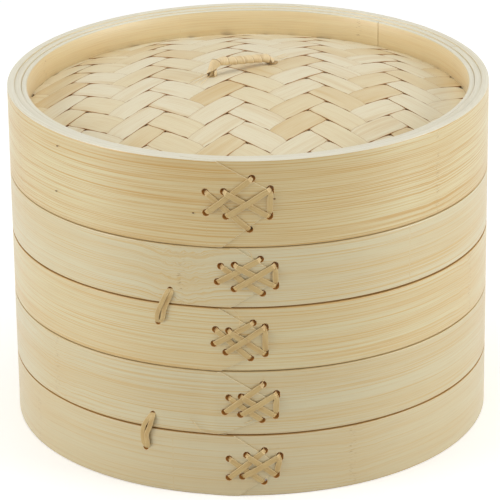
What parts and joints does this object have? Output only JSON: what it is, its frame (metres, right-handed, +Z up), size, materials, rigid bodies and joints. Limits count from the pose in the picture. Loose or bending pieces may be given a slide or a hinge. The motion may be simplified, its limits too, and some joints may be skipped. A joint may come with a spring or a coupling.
{
  "type": "bamboo steamer",
  "caption": "Stacked round bamboo steamer: two slatted tiers of lapped and laced hoops, and a lid with a domed woven top and a small wound handle.",
  "frame": {"origin": "middle of the circle on which the lower tier's foot hoop stands", "axes": "+Z up along the steamer's axis, the laced front faces -Y, +X to the right seen from the front"},
  "size_m": [0.2548, 0.257, 0.1959],
  "materials": {
    "hoop_warm": "satin, split bamboo, slightly amber, grain along the hoop",
    "hoop_pale": "satin, split bamboo, pale, grain along the hoop",
    "inner_hoop": "satin, tan inner bamboo, fine grain along the hoop",
    "weave": "matt, thin cream bamboo strips in a twill",
    "under_weave": "matt, brown bamboo strips in a coarse weave",
    "lace": "matt, thin split bamboo strip",
    "slat": "matt, flat bamboo slats"
  },
  "bodies": {
    "lower_tier": {"lower_foot_hoop": "hoop_pale", "lower_top_hoop": "hoop_pale", "lower_foot_lace": "lace", "lower_top_lace": "lace", "lower_inner_hoop": "inner_hoop", "lower_support_hoop": "inner_hoop", "lower_cross_bar_1": "slat", "lower_cross_bar_2": "slat", "lower_slat_1": "slat", "lower_slat_2": "slat", "lower_slat_3": "slat", "lower_slat_4": "slat", "lower_slat_5": "slat", "lower_slat_6": "slat", "lower_slat_7": "slat", "lower_slat_8": "slat", "lower_slat_9": "slat", "lower_slat_10": "slat", "lower_slat_11": "slat", "lower_slat_12": "slat", "lower_slat_13": "slat", "lower_tie_1": "lace", "lower_tie_2": "lace", "lower_tie_3": "lace"},
    "upper_tier": {"upper_foot_hoop": "hoop_warm", "upper_top_hoop": "hoop_pale", "upper_foot_lace": "lace", "upper_top_lace": "lace", "upper_inner_hoop": "inner_hoop", "upper_support_hoop": "inner_hoop", "upper_cross_bar_1": "slat", "upper_cross_bar_2": "slat", "upper_slat_1": "slat", "upper_slat_2": "slat", "upper_slat_3": "slat", "upper_slat_4": "slat", "upper_slat_5": "slat", "upper_slat_6": "slat", "upper_slat_7": "slat", "upper_slat_8": "slat", "upper_slat_9": "slat", "upper_slat_10": "slat", "upper_slat_11": "slat", "upper_slat_12": "slat", "upper_slat_13": "slat", "upper_tie_1": "lace", "upper_tie_2": "lace", "upper_tie_3": "lace"},
    "lid": {"lid_outer_hoop": "hoop_warm", "lid_lace": "lace", "lid_middle_hoop": "hoop_pale", "lid_upper_hoop": "inner_hoop", "lid_lower_hoop": "inner_hoop", "lid_woven_top": "weave", "lid_under_weave": "under_weave", "lid_handle_cane": "inner_hoop", "lid_handle_winding": "lace"}
  },
  "joints": [
    {"name": "upper_tier_lift", "type": "slide", "parent": "lower_tier", "child": "upper_tier", "axis": [0, 0, 1], "range_m": [0, 0.1]},
    {"name": "lid_lift", "type": "slide", "parent": "upper_tier", "child": "lid", "axis": [0, 0, 1], "range_m": [0, 0.1]}
  ]
}
